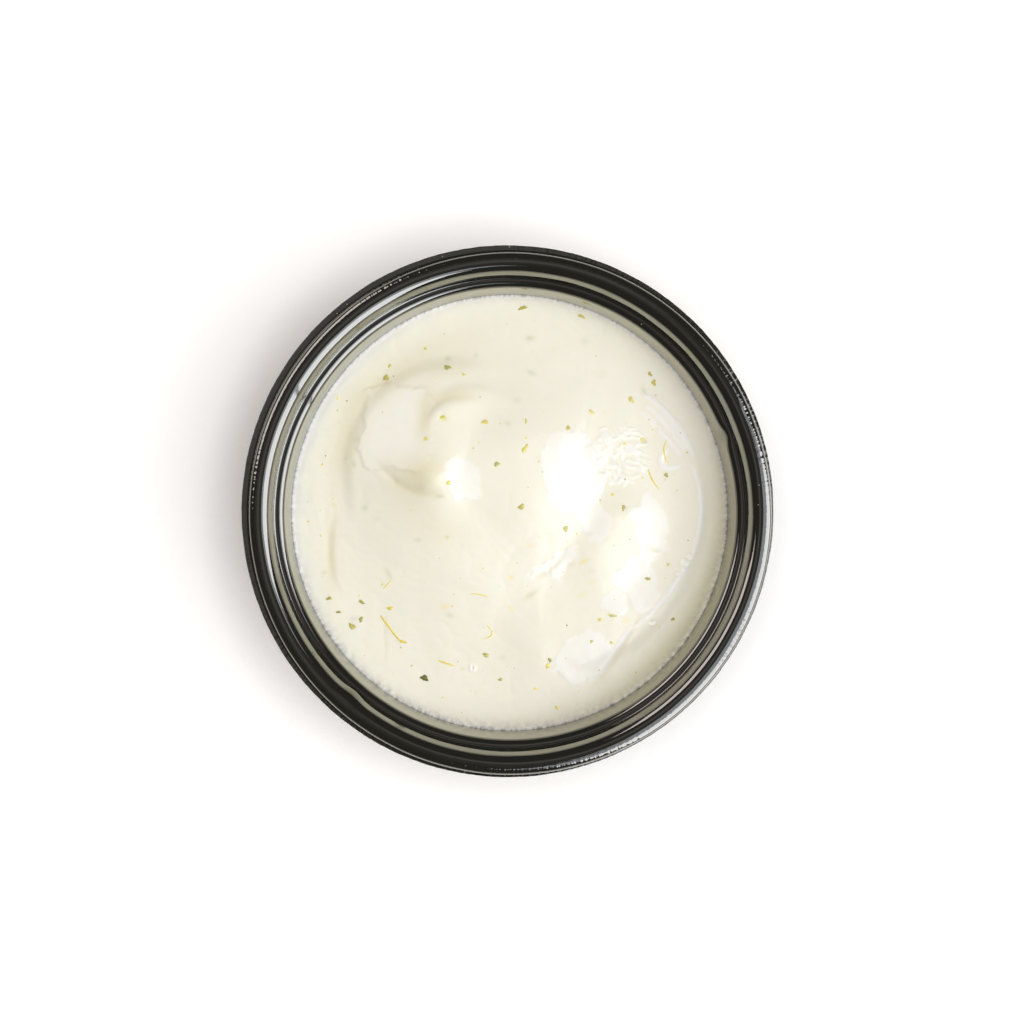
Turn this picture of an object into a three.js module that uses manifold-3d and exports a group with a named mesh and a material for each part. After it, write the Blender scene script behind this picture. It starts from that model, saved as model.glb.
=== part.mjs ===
// A black moulded bowl of creamy yogurt dip with herbs, in millimetres, +Z up.
// The origin is on the bowl's axis, at the surface that it stands on. +Y points away from the viewer.
// The bowl is one thin shell. The dip is one solid, with its largest herb flakes and shreds fused to it.
import * as THREE from "three";
import { mergeVertices } from "three/addons/utils/BufferGeometryUtils.js";
import Module from "manifold-3d";

const wasm = await Module();
wasm.setup();

// ---- The bowl: radii are measured on its inner face, from its axis ----
const BOWL_HEIGHT = 42;
const WALL = 0.5;
const BOWL_SIDES = 60;
const BEND_STEPS = 3;

const PANEL_RADIUS = 26; // the raised middle of the base
const PANEL_RISE = 1.5;
const PANEL_SLOPE = 2; // width of the slope round the panel
const BASE_RADIUS = 36.4; // where the wall would meet the floor
const BASE_ROUND = 3.2;

const LEDGE_DROP = 5; // from the bead's crest down to the stacking ledge
const WALL_TOP = 40.63; // where the wall would meet the ledge
const LEDGE_INNER = 41.75; // start of the flat part of the ledge
const LEDGE_OUTER = 42.4;
const LEDGE_BEND = 1.15; // height of the rounded edge of the ledge
const LEDGE_CORNER = 0.45;

const BEAD_INNER = 43; // inner foot, crest and outer foot of the round bead along the rim
const BEAD_CREST = 44.7;
const BEAD_OUTER = 46.5;
const BEAD_RISE = 1; // height of its rounded part, on the inner and on the outer side
const OUTER_RISE = 1.15;
const BEAD_FLATNESS = 0.57; // share of each side that the curve's handles take
const BEAD_SHELF = 0.72; // the same for the crest's run towards the outer side
const FLANK_TILT = 15; // lean of the flank below the bead's inner foot, in degrees from upright
const FLANK_DROP = 2.1; // height of that flank

const LIP_RADIUS = 47.5;
const LIP_DROP = 2.5; // from the bead's crest down to the lip
const LIP_ROOT = 46.65; // where the lip leaves the foot of the bead
const LIP_FALL = 0.04; // how far it falls outwards
const LIP_SHIFT = { distance: 0.6, azimuth: 140 }; // the lip was trimmed off centre

// Dents in the rim: azimuth and half width in degrees, then the radius of the middle, how far the dent
// reaches on both sides of it, and how far the middle is pushed towards the axis.
const DENTS = [
  { azimuth: 20, halfWidth: 2.3, radius: 40.7, reach: 0.9, depth: -0.5 },
  { azimuth: 229, halfWidth: 3, radius: 42.6, reach: 0.7, depth: 0.4 },
  { azimuth: 229.5, halfWidth: 2.2, radius: 44, reach: 0.7, depth: 0.15 },
  { azimuth: 23, halfWidth: 2, radius: 45.6, reach: 0.5, depth: 0.12 },
];

// ---- The dip ----
const FILL_LEVEL = 27.8; // mean height of the dip at the wall
const GAP = 0.35; // between the dip's solid and the bowl's inner face
const DIP_SIDES = 80;
const DIP_RINGS = 24;

// The heap leans: its contours are circles whose middle moves from the peak to the middle of the base.
const HEAP = { peakX: -12.4, peakY: 6.6, baseX: 1.5, baseY: 1.5, radius: 35.5, rise: 4.8 };
const KNOB = { x: -13.4, y: 6.4, halfX: 5, halfY: 5.4, rise: 1.5 }; // the tip that the spoon left
const LEAN = { slope: 0.02, azimuth: -43 }; // the whole surface falls this way
const MENISCUS = { rise: 0.8, width: 0.9 };

// Folds left by the spoon: crests along arcs, with a falling side outside and a rising side inside.
// x and y are the arc's middle, crest its radius, outside and inside the widths of the two sides.
// facing is the azimuth of the fold's middle, span its half length and fade the run of each end, in degrees.
const FOLDS = [
  // The broad shoulder to the right of the tip.
  { x: -12.4, y: 6.6, crest: 17.5, outside: 13.5, inside: 15, rise: 1.9, facing: 5, span: 12, fade: 45 },
  // The tongue that the spoon drew to the near right, and the low step beyond it along the wall.
  { x: 13, y: -1, crest: 6.5, outside: 11, inside: 6, rise: 1.6, facing: -30, span: 28, fade: 60 },
  { x: 4, y: 2, crest: 30, outside: 3.4, inside: 9, rise: 0.7, facing: -25, span: 34, fade: 24 },
  // The long fold along the near side.
  { x: 2, y: 0, crest: 24, outside: 11, inside: 11, rise: 1.35, facing: -64, span: 14, fade: 26 },
  // The even slope beyond the tip, its steep outer edge and the small lip inside it.
  { x: -9, y: 7, crest: 7.5, outside: 16, inside: 7.4, rise: 0.9, facing: 145, span: 25, fade: 55 },
  { x: -9, y: 7, crest: 19.3, outside: 2.8, inside: 13, rise: 0.55, facing: 140, span: 42, fade: 30 },
  { x: -6, y: 14, crest: 8, outside: 2.8, inside: 5, rise: 0.4, facing: 115, span: 40, fade: 40 },
];

// ---- What is fused to the dip, largest first: x, y, length, width, heading in degrees ----
const CHIP_THICKNESS = 0.5;
const SHREDS = [
  [-21.6, -21.2, 6.0, 0.6, -51],
  [28.5, 11.2, 3.8, 0.5, 84],
  [26.2, 6.0, 3.6, 0.5, -62],
  [-11.6, -27.4, 3.2, 0.6, -16],
];
const HERBS = [
  [18.8, -18.6, 1.8, 0.6, -5],
  [2.2, 37.4, 1.6, 0.8, 20],
  [2.7, 11.7, 1.6, 0.9, 60],
  [-27.0, -16.2, 1.6, 0.7, -30],
  [-15.6, -30.0, 1.6, 1.1, 0],
  [-4.5, 16.5, 1.5, 0.8, -10],
  [22.1, 20.7, 1.5, 0.8, -60],
  [13.0, 35.9, 1.3, 0.7, -25],
  [-22.6, 24.7, 1.3, 1.1, 70],
  [14.8, 18.4, 1.3, 0.7, -60],
  [2.0, 1.2, 1.3, 0.8, 30],
  [-28.8, -20.6, 1.3, 0.9, -40],
  [-12.1, 17.3, 1.3, 0.7, -20],
  [-11.4, 26.5, 1.2, 1.0, 0],
  [26.2, 23.8, 1.2, 0.7, -65],
  [10.1, -2.8, 1.2, 0.7, 75],
  [20.6, 1.0, 1.1, 0.7, 70],
  [-4.4, -25.8, 1.1, 0.9, 0],
  [7.2, -26.7, 1.1, 0.8, -80],
  [25.1, -11.9, 1.1, 0.6, 0],
  [8.5, -35.4, 1.1, 0.7, -30],
  [24.1, 13.5, 1.1, 0.8, -60],
  [10.5, 15.5, 1.0, 0.9, 0],
  [-2.4, 8.9, 1.0, 0.8, -20],
  [2.9, 14.0, 1.0, 0.8, -80],
  [-15.2, 13.5, 1.0, 0.7, 80],
  [-33.0, -15.5, 1.0, 0.7, 20],
  [-31.3, -18.0, 1.0, 0.7, 0],
  [-27.2, -19.3, 1.0, 0.8, 40],
  [25.5, 25.4, 1.0, 0.6, -70],
  [28.4, 7.0, 0.9, 0.9, 0],
  [-11.1, 5.5, 0.9, 0.8, 0],
];

const BLACK = new THREE.MeshStandardMaterial({ color: 0x17171a, roughness: 0.25, metalness: 0 });
const CREAM = new THREE.MeshStandardMaterial({ color: 0xf0eed6, roughness: 0.35, metalness: 0 });

const { degToRad, clamp, smoothstep } = THREE.MathUtils;

// Radius of the tapered inner wall at a height.
function wallRadius(height) {
  return BASE_RADIUS + ((WALL_TOP - BASE_RADIUS) * (height - WALL)) / (BOWL_HEIGHT - LEDGE_DROP - WALL);
}

// One face of the bowl as a half outline, from the axis out to the edge of the lip.
// skin is how far the face lies outside the inner one: 0 for that, the wall for the outer face.
// Each bend is one curve whose control point is the corner that it rounds.
function bowlFace(skin) {
  const floor = WALL - skin;
  const ledge = BOWL_HEIGHT - LEDGE_DROP - skin;
  const crest = BOWL_HEIGHT - skin;
  const foot = BOWL_HEIGHT - BEAD_RISE;
  const outerFoot = BOWL_HEIGHT - OUTER_RISE;
  const lip = BOWL_HEIGHT - LIP_DROP - skin;
  const inner = BEAD_INNER + skin;
  const outer = BEAD_OUTER - skin;
  const lean = Math.tan(degToRad(FLANK_TILT));
  const handle = (from, to, share = BEAD_FLATNESS) => from + (to - from) * share;
  const path = new THREE.Path();
  path.moveTo(0, floor + PANEL_RISE);
  path.lineTo(PANEL_RADIUS, floor + PANEL_RISE);
  path.lineTo(PANEL_RADIUS + PANEL_SLOPE, floor);
  path.lineTo(BASE_RADIUS - BASE_ROUND, floor);
  path.quadraticCurveTo(BASE_RADIUS + skin, floor, wallRadius(BASE_ROUND) + skin, BASE_ROUND);
  path.lineTo(wallRadius(ledge - LEDGE_BEND) + skin, ledge - LEDGE_BEND);
  path.quadraticCurveTo(WALL_TOP + skin, ledge, LEDGE_INNER + skin, ledge);
  path.lineTo(LEDGE_OUTER - LEDGE_CORNER + skin, ledge);
  path.quadraticCurveTo(LEDGE_OUTER + skin, ledge, LEDGE_OUTER + skin, ledge + LEDGE_CORNER);
  path.lineTo(inner - FLANK_DROP * lean, foot - FLANK_DROP);
  path.lineTo(inner, foot);
  const bulge = BEAD_RISE / 2;
  path.bezierCurveTo(inner + bulge * lean, foot + bulge, handle(BEAD_CREST, inner), crest, BEAD_CREST, crest);
  const shelf = handle(BEAD_CREST, outer, BEAD_SHELF);
  path.bezierCurveTo(shelf, crest, outer, handle(outerFoot, crest), outer, outerFoot);
  path.quadraticCurveTo(outer, lip, LIP_ROOT, lip);
  path.lineTo(LIP_RADIUS, lip - LIP_FALL);
  return path.getPoints(BEND_STEPS);
}

// Turns a half outline round the axis and stands it upright.
function turned(outline, sides) {
  return new THREE.LatheGeometry(outline, sides).rotateX(Math.PI / 2);
}

// Moves every vertex of a geometry by a rule, in place.
function reshape(geometry, rule) {
  const places = geometry.getAttribute("position");
  const point = new THREE.Vector3();
  for (let i = 0; i < places.count; i++) {
    point.fromBufferAttribute(places, i);
    rule(point);
    places.setXYZ(i, point.x, point.y, point.z);
  }
  return geometry;
}

// The lip's edge is a circle off the bowl's axis, so the shift grows from the bead's foot to the edge.
function shiftLip(point, radius) {
  const share = clamp((radius - BEAD_OUTER) / (LIP_RADIUS - BEAD_OUTER), 0, 1);
  const azimuth = degToRad(LIP_SHIFT.azimuth);
  point.x += share * LIP_SHIFT.distance * Math.cos(azimuth);
  point.y += share * LIP_SHIFT.distance * Math.sin(azimuth);
}

// Each dent pushes the rim above the ledge towards the axis, most at the dent's middle.
function pressDents(point, radius) {
  if (point.z < BOWL_HEIGHT - LEDGE_DROP - 2 * LEDGE_BEND) return;
  const azimuth = Math.atan2(point.y, point.x);
  for (const dent of DENTS) {
    const away = degreesBetween(azimuth, dent.azimuth) / dent.halfWidth;
    const across = (radius - dent.radius) / dent.reach;
    const push = dent.depth * Math.exp(-away * away - across * across);
    point.x -= push * Math.cos(azimuth);
    point.y -= push * Math.sin(azimuth);
  }
}

function degreesBetween(azimuth, degrees) {
  return THREE.MathUtils.radToDeg(Math.acos(Math.cos(azimuth - degToRad(degrees))));
}

function makeBowl() {
  const shell = turned([...bowlFace(WALL), ...bowlFace(0).reverse()], BOWL_SIDES);
  return reshape(shell, (point) => {
    const radius = Math.hypot(point.x, point.y);
    pressDents(point, radius);
    shiftLip(point, radius);
  });
}

// A half wave that falls from 1 at 0 to 0 at 1 and stays there.
const falling = (t) => (1 + Math.cos(Math.PI * clamp(t, 0, 1))) / 2;

// Height of the leaning heap: the share t of the way down is where the point lies on the circle round
// peak + t (base - peak) with radius t times the heap's.
function heapAt(x, y) {
  const leanX = HEAP.baseX - HEAP.peakX;
  const leanY = HEAP.baseY - HEAP.peakY;
  const along = (x - HEAP.peakX) * leanX + (y - HEAP.peakY) * leanY;
  const away = (x - HEAP.peakX) ** 2 + (y - HEAP.peakY) ** 2;
  const room = HEAP.radius ** 2 - leanX ** 2 - leanY ** 2;
  return HEAP.rise * falling((Math.sqrt(along ** 2 + room * away) - along) / room);
}

function foldAt(x, y, fold) {
  const radius = Math.hypot(x - fold.x, y - fold.y);
  const azimuth = Math.atan2(y - fold.y, x - fold.x);
  const end = smoothstep((degreesBetween(azimuth, fold.facing) - fold.span) / fold.fade, 0, 1);
  const side = radius > fold.crest ? fold.outside : fold.inside;
  return fold.rise * (1 - end) * falling(Math.abs(radius - fold.crest) / side);
}

// Height of the dip's surface.
function surfaceAt(x, y) {
  const knob = KNOB.rise * Math.exp(-(((x - KNOB.x) / KNOB.halfX) ** 2) - ((y - KNOB.y) / KNOB.halfY) ** 2);
  const folds = FOLDS.reduce((sum, fold) => sum + foldAt(x, y, fold), 0);
  const azimuth = degToRad(LEAN.azimuth);
  const lean = LEAN.slope * (x * Math.cos(azimuth) + y * Math.sin(azimuth));
  const toWall = Math.max(wallRadius(FILL_LEVEL) - Math.hypot(x, y), 0);
  const meniscus = MENISCUS.rise * Math.exp(-toWall / MENISCUS.width);
  return FILL_LEVEL + heapAt(x, y) + knob + folds - lean + meniscus;
}

// The dip's body: the bowl's inner face moved in by the gap, then rings over the top to the axis.
// The outermost ring follows the tapered wall to its own height.
function makeDipBody() {
  const edge = wallRadius(FILL_LEVEL) - GAP;
  const face = bowlFace(-GAP);
  const under = face.slice(0, face.findIndex((point) => point.y > FILL_LEVEL));
  const rings = Array.from({ length: DIP_RINGS + 1 }, (_, i) => 1 - i / DIP_RINGS);
  const top = rings.map((share) => new THREE.Vector2(share * edge, FILL_LEVEL));
  return reshape(turned([...under, ...top], DIP_SIDES), (point) => {
    if (point.z < FILL_LEVEL - GAP) return;
    point.z = surfaceAt(point.x, point.y);
    const radius = Math.hypot(point.x, point.y);
    if (radius < edge - GAP) return;
    const spread = (wallRadius(point.z) - GAP) / radius;
    point.x *= spread;
    point.y *= spread;
  });
}

// One flake or shred: a small flat many-sided chip that lies along the surface, half sunk in it.
function makeChip([x, y, length, width, heading]) {
  const step = width / 2;
  const slopeX = (surfaceAt(x + step, y) - surfaceAt(x - step, y)) / width;
  const slopeY = (surfaceAt(x, y + step) - surfaceAt(x, y - step)) / width;
  const up = new THREE.Vector3(-slopeX, -slopeY, 1).normalize();
  const tilt = new THREE.Quaternion().setFromUnitVectors(new THREE.Vector3(0, 0, 1), up);
  const chip = new THREE.IcosahedronGeometry(0.5, 0);
  chip.scale(length, width, CHIP_THICKNESS).rotateZ(degToRad(heading)).applyQuaternion(tilt);
  return chip.translate(x, y, surfaceAt(x, y));
}

// A geometry as a solid that can be joined to another.
function solidOf(geometry) {
  const bare = geometry.clone().deleteAttribute("normal").deleteAttribute("uv");
  const merged = mergeVertices(bare, 1e-3);
  return new wasm.Manifold(
    new wasm.Mesh({
      numProp: 3,
      vertProperties: merged.getAttribute("position").array,
      triVerts: new Uint32Array(merged.index.array),
    }),
  );
}

function geometryOf(solid) {
  const mesh = solid.getMesh();
  const geometry = new THREE.BufferGeometry();
  geometry.setAttribute("position", new THREE.BufferAttribute(mesh.vertProperties, mesh.numProp));
  geometry.setIndex(new THREE.BufferAttribute(mesh.triVerts, 1));
  geometry.computeVertexNormals();
  return geometry;
}

function makeDip() {
  const chips = [...SHREDS, ...HERBS].map((chip) => solidOf(makeChip(chip)));
  return geometryOf(chips.reduce((dip, chip) => dip.add(chip), solidOf(makeDipBody())));
}

function piece(name, geometry, material) {
  const mesh = new THREE.Mesh(geometry, material);
  mesh.name = name;
  return mesh;
}

const bowlOfDip = new THREE.Group();
bowlOfDip.add(piece("bowl", makeBowl(), BLACK));
bowlOfDip.add(piece("dip", makeDip(), CREAM));

export default bowlOfDip;
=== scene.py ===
"""Looks of a black moulded bowl of creamy yogurt dip with herbs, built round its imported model.

Lengths are millimetres about the bowl's axis, +Z up and +Y away from the viewer, until a mesh is made.
Angles are degrees, and azimuths turn from +X towards +Y.
"""

import logging
import math
from dataclasses import dataclass
from enum import Enum

import bpy
import numpy as np
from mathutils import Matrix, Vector


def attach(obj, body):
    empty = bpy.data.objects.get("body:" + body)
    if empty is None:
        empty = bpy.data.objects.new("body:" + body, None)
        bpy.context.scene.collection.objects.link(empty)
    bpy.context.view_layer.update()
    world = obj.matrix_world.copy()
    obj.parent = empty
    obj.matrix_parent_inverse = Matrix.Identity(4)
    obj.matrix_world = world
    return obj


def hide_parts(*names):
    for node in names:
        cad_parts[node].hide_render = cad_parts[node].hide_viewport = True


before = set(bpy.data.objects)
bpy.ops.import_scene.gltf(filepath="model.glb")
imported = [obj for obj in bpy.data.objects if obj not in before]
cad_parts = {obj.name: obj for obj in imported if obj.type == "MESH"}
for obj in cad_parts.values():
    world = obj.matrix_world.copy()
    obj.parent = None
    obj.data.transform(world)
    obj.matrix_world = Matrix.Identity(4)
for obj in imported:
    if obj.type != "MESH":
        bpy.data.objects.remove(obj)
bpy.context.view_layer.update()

LOG = logging.getLogger("bowl_of_dip")
MM = 0.001
BODY = "root"
TURN = 2 * math.pi
LATTICE = 64  # the noise repeats after this many cells

Tree = bpy.types.NodeTree
Socket = bpy.types.NodeSocket
Rgba = tuple[float, float, float, float]


# ---- Numbers ----


def linear(code: str) -> Rgba:
    """Turns an sRGB hex colour into linear red, green, blue and alpha.

    Args:
        code: six hex digits, with or without a leading #.

    Returns:
        The linear colour with an alpha of 1.
    """
    channels = [int(code.lstrip("#")[i : i + 2], 16) / 255 for i in (0, 2, 4)]
    red, green, blue = [c / 12.92 if c <= 0.04045 else ((c + 0.055) / 1.055) ** 2.4 for c in channels]
    return red, green, blue, 1.0


def smooth(share: np.ndarray) -> np.ndarray:
    """Rises from 0 to 1 as 3 s^2 - 2 s^3 while the share s goes from 0 to 1."""
    share = np.clip(share, 0, 1)
    return share * share * (3 - 2 * share)


def falling(share: np.ndarray) -> np.ndarray:
    """Falls from 1 to 0 as half a cosine wave while the share goes from 0 to 1."""
    return (1 + np.cos(math.pi * np.clip(share, 0, 1))) / 2


def degrees_between(azimuth: np.ndarray, middle: float) -> np.ndarray:
    """Angle in degrees, 0 to 180, from an azimuth in radians to a middle in degrees."""
    return np.degrees(np.arccos(np.cos(azimuth - math.radians(middle))))


def turned(x: np.ndarray, y: np.ndarray, heading: float) -> tuple[np.ndarray, np.ndarray]:
    """Distances along a heading in degrees, and across it."""
    turn = math.radians(heading)
    return x * math.cos(turn) + y * math.sin(turn), y * math.cos(turn) - x * math.sin(turn)


def bezier(controls: list[tuple[float, float]], steps: int) -> np.ndarray:
    """Points of a Bezier curve of any degree, without its first point.

    Each point is the sum of the control points, weighted by the Bernstein polynomials of its share t.

    Args:
        controls: the control points, two for a straight line.
        steps: number of points.

    Returns:
        An array of steps rows.
    """
    degree = len(controls) - 1
    t = np.linspace(0, 1, steps + 1)[1:, None]
    weights = [math.comb(degree, k) * t**k * (1 - t) ** (degree - k) for k in range(degree + 1)]
    return np.hstack(weights) @ np.array(controls, float)


def noise(x: np.ndarray, y: np.ndarray, cell: float, seed: int) -> np.ndarray:
    """Gradient noise of about -1 to 1.

    Each corner of a square lattice has a slope in a random direction, and the four slopes round a point are
    blended by smooth steps of its place in the cell.

    Args:
        x, y: coordinates.
        cell: side of a lattice cell, in the same unit.
        seed: choice of the random directions.

    Returns:
        The noise at each point.
    """
    turns = np.random.default_rng(seed).uniform(0, TURN, (LATTICE, LATTICE))
    column, row = np.floor(x / cell).astype(int), np.floor(y / cell).astype(int)
    across, up = x / cell - column, y / cell - row

    def corner(right: int, above: int) -> np.ndarray:
        """The slope of one corner, carried to the point."""
        turn = turns[(column + right) % LATTICE, (row + above) % LATTICE]
        return np.cos(turn) * (across - right) + np.sin(turn) * (up - above)

    low = corner(0, 0) + smooth(across) * (corner(1, 0) - corner(0, 0))
    high = corner(0, 1) + smooth(across) * (corner(1, 1) - corner(0, 1))
    return 1.5 * (low + smooth(up) * (high - low))


# ---- Meshes and nodes ----


def put_mesh(name: str, points: np.ndarray, faces: list[np.ndarray]) -> bpy.types.Object:
    """Makes a smooth-shaded object at the origin from points in millimetres.

    Args:
        name: name of the piece.
        points: one row of x, y, z for each vertex.
        faces: blocks of vertex indices, each block of faces with the same number of corners.

    Returns:
        The object, linked to the scene.
    """
    mesh = bpy.data.meshes.new(name)
    mesh.from_pydata((points * MM).tolist(), [], [face for block in faces for face in block.tolist()])
    mesh.polygons.foreach_set("use_smooth", np.ones(len(mesh.polygons), bool))
    mesh.update()
    thing = bpy.data.objects.new(name, mesh)
    bpy.context.scene.collection.objects.link(thing)
    return thing


def closed_faces(number: np.ndarray, first: int, last: int) -> list[np.ndarray]:
    """Faces of a closed body made of rings between two poles.

    Args:
        number: the vertices' numbers, one row for each place round the body and one column for each ring.
        first: number of the pole before the first ring.
        last: number of the pole after the last ring.

    Returns:
        The quads between the rings, and the triangles round the poles.
    """
    after = np.roll(number, -1, 0)
    quads = np.stack([number[:, :-1], after[:, :-1], after[:, 1:], number[:, 1:]], -1).reshape(-1, 4)
    ends = [(first, after[:, 0], number[:, 0]), (last, number[:, -1], after[:, -1])]
    return [quads, np.vstack([np.stack([np.full(len(a), pole), a, b], -1) for pole, a, b in ends])]


def put_colours(thing: bpy.types.Object, name: str, colours: np.ndarray) -> None:
    """Stores a linear colour for each vertex of a piece as a named attribute.

    Args:
        thing: the piece.
        name: name of the attribute.
        colours: one row of red, green, blue for each vertex.
    """
    attribute = thing.data.color_attributes.new(name, "FLOAT_COLOR", "POINT")
    with_alpha = np.hstack([colours, np.ones((len(colours), 1))])
    attribute.data.foreach_set("color", with_alpha.astype(np.float32).ravel())


def settle(thing: bpy.types.Object, material: bpy.types.Material, slot: str, *nodes: str) -> None:
    """Gives a finished piece its material and its body, and hides the nodes that it replaces."""
    thing.data.materials.append(material)
    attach(thing, BODY)
    if nodes:
        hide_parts(*nodes)
    LOG.info("%s: %d vertices, %d faces", thing.name, len(thing.data.vertices), len(thing.data.polygons))


def add(tree: Tree, kind: str, inputs: dict | None = None, **settings: object) -> bpy.types.Node:
    """Adds one node, sets its properties and fills its inputs.

    Args:
        tree: the node tree.
        kind: the node's type name.
        inputs: a value, or an output socket to link, for each input's name or number.
        settings: the node's own properties.

    Returns:
        The new node.
    """
    node = tree.nodes.new(kind)
    for name, value in settings.items():
        setattr(node, name, value)
    for key, value in (inputs or {}).items():
        if isinstance(value, Socket):
            tree.links.new(value, node.inputs[key])
        else:
            node.inputs[key].default_value = value
    return node


def computed(tree: Tree, operation: str, *values: object, **settings: object) -> Socket:
    """The result of one arithmetic step on numbers or sockets."""
    return add(tree, "ShaderNodeMath", dict(enumerate(values)), operation=operation, **settings).outputs[0]


def ranged(tree: Tree, source: Socket, old: tuple, new: tuple, **settings: object) -> Socket:
    """The source, carried from its old range over to a new one and held at the ends."""
    inputs = {"Value": source, "From Min": old[0], "From Max": old[1], "To Min": new[0], "To Max": new[1]}
    return add(tree, "ShaderNodeMapRange", inputs, **settings).outputs[0]


def mottling(tree: Tree, place: Socket, size: float, detail: float) -> Socket:
    """Soft noise from 0 to 1 with cells of a size in millimetres."""
    inputs = {"Vector": place, "Scale": 1 / (size * MM), "Detail": detail}
    return add(tree, "ShaderNodeTexNoise", inputs).outputs[0]


def bumped(tree: Tree, height: Socket, strength: float, depth: float, over: Socket | None = None) -> Socket:
    """Normals bent by a height of up to depth millimetres, over those of an earlier bump."""
    below = {} if over is None else {"Normal": over}
    inputs = {"Height": height, "Strength": strength, "Distance": depth * MM, **below}
    return add(tree, "ShaderNodeBump", inputs).outputs[0]


def blended(tree: Tree, share: object, first: object, second: object, **settings: object) -> Socket:
    """Two colours, or with data_type FLOAT two numbers, blended by a share."""
    inputs = {"Factor": share, "A": first, "B": second}
    return add(tree, "ShaderNodeMix", inputs, **{"data_type": "RGBA", **settings}).outputs["Result"]


def new_material(name: str) -> tuple[bpy.types.Material, Tree, Socket]:
    """An empty node material, its tree, and the place of each point in the object."""
    material = bpy.data.materials.new(name)
    material.use_nodes = True
    tree = material.node_tree
    tree.nodes.clear()
    return material, tree, add(tree, "ShaderNodeTexCoord").outputs["Object"]


def put_surface(tree: Tree, inputs: dict) -> None:
    """Adds the one shader of a material, and its output."""
    surface = add(tree, "ShaderNodeBsdfPrincipled", inputs)
    add(tree, "ShaderNodeOutputMaterial", {"Surface": surface.outputs[0]})


# ---- Finishes ----


@dataclass(frozen=True)
class GlossyBlackPolypropylene:
    """Moulded black polypropylene: a deep black with a sharp gloss that shows tool marks and dust."""

    colour: str = "#151516"
    dust_colour: str = "#a9a9aa"
    roughness: float = 0.045
    roughness_spread: float = 0.04
    ior: float = 1.5
    gloss: float = 1.0  # a second mirroring layer, which gives the steep sides their strong reflections
    gloss_tint: Rgba = (1.0, 0.99, 0.78, 1.0)  # and turns them a little olive
    cell_of_peel: float = 1.6  # the faint waviness of the moulded skin
    turning_mark: float = 0.16  # spacing of the rings that the mould's turning left
    turning_mark_run: float = 4.0  # how often a ring changes in one radian round the bowl
    rib_pitch_degrees: float = 0.9  # drag marks over the outer side of the bead
    rib_inside_radius: float = 45.2
    rib_fade: float = 0.5
    dust_pitch: float = 1.7
    dust_share: float = 0.1  # of the cells that hold a grain
    dust_size: float = 0.055  # a grain's radius, as a share of the pitch

    def material(self) -> bpy.types.Material:
        """Builds the node material."""
        material, tree, place = new_material("glossy_black_polypropylene")
        x, y, _ = add(tree, "ShaderNodeSeparateXYZ", {0: place}).outputs
        flat = add(tree, "ShaderNodeCombineXYZ", {0: x, 1: y}).outputs[0]
        radius = add(tree, "ShaderNodeVectorMath", {0: flat}, operation="LENGTH").outputs["Value"]
        azimuth = computed(tree, "ARCTAN2", y, x)

        # Faint rings: noise that changes fast across the radius, and slowly round the bowl.
        across = computed(tree, "MULTIPLY", radius, 1 / (self.turning_mark * MM))
        slow = computed(tree, "MULTIPLY", azimuth, self.turning_mark_run)
        ring_place = add(tree, "ShaderNodeCombineXYZ", {0: across, 1: slow}).outputs[0]
        fine = {"Vector": ring_place, "Scale": 1.0, "Detail": 2.0}
        rings = add(tree, "ShaderNodeTexNoise", fine, noise_dimensions="2D").outputs[0]

        # Drag marks: noise that changes fast round the bowl only, on the outer side of the bead.
        fast = computed(tree, "MULTIPLY", azimuth, 360 / self.rib_pitch_degrees / TURN)
        ribs = add(
            tree, "ShaderNodeTexNoise", {"W": fast, "Scale": 1.0, "Detail": 1.0}, noise_dimensions="1D"
        ).outputs[0]
        start = self.rib_inside_radius
        outside = ranged(tree, radius, (start * MM, (start + self.rib_fade) * MM), (0.0, 1.0))
        peel = mottling(tree, place, self.cell_of_peel, 1.0)
        bump = bumped(tree, peel, 0.05, 0.1)
        bump = bumped(tree, rings, 0.025, 0.03, bump)
        bump = bumped(tree, computed(tree, "MULTIPLY", ribs, outside), 0.5, 0.1, bump)

        # Dust: small dots round the middles of random cells, kept in a few of them.
        cells = {"Vector": flat, "Scale": 1 / (self.dust_pitch * MM)}
        grains = add(tree, "ShaderNodeTexVoronoi", cells, voronoi_dimensions="2D").outputs
        chosen = computed(tree, "GREATER_THAN", grains["Color"], 1 - self.dust_share)
        near = computed(tree, "LESS_THAN", grains["Distance"], self.dust_size)
        dust = computed(tree, "MULTIPLY", chosen, near)
        gloss = ranged(tree, peel, (0, 1), (self.roughness, self.roughness + self.roughness_spread))
        put_surface(
            tree,
            {
                "Base Color": blended(tree, dust, linear(self.colour), linear(self.dust_colour)),
                "Roughness": gloss,
                "IOR": self.ior,
                "Coat Weight": self.gloss,
                "Coat Tint": self.gloss_tint,
                "Coat Roughness": gloss,
                "Coat IOR": self.ior,
                "Normal": bump,
                "Coat Normal": bump,
            },
        )
        return material


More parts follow.
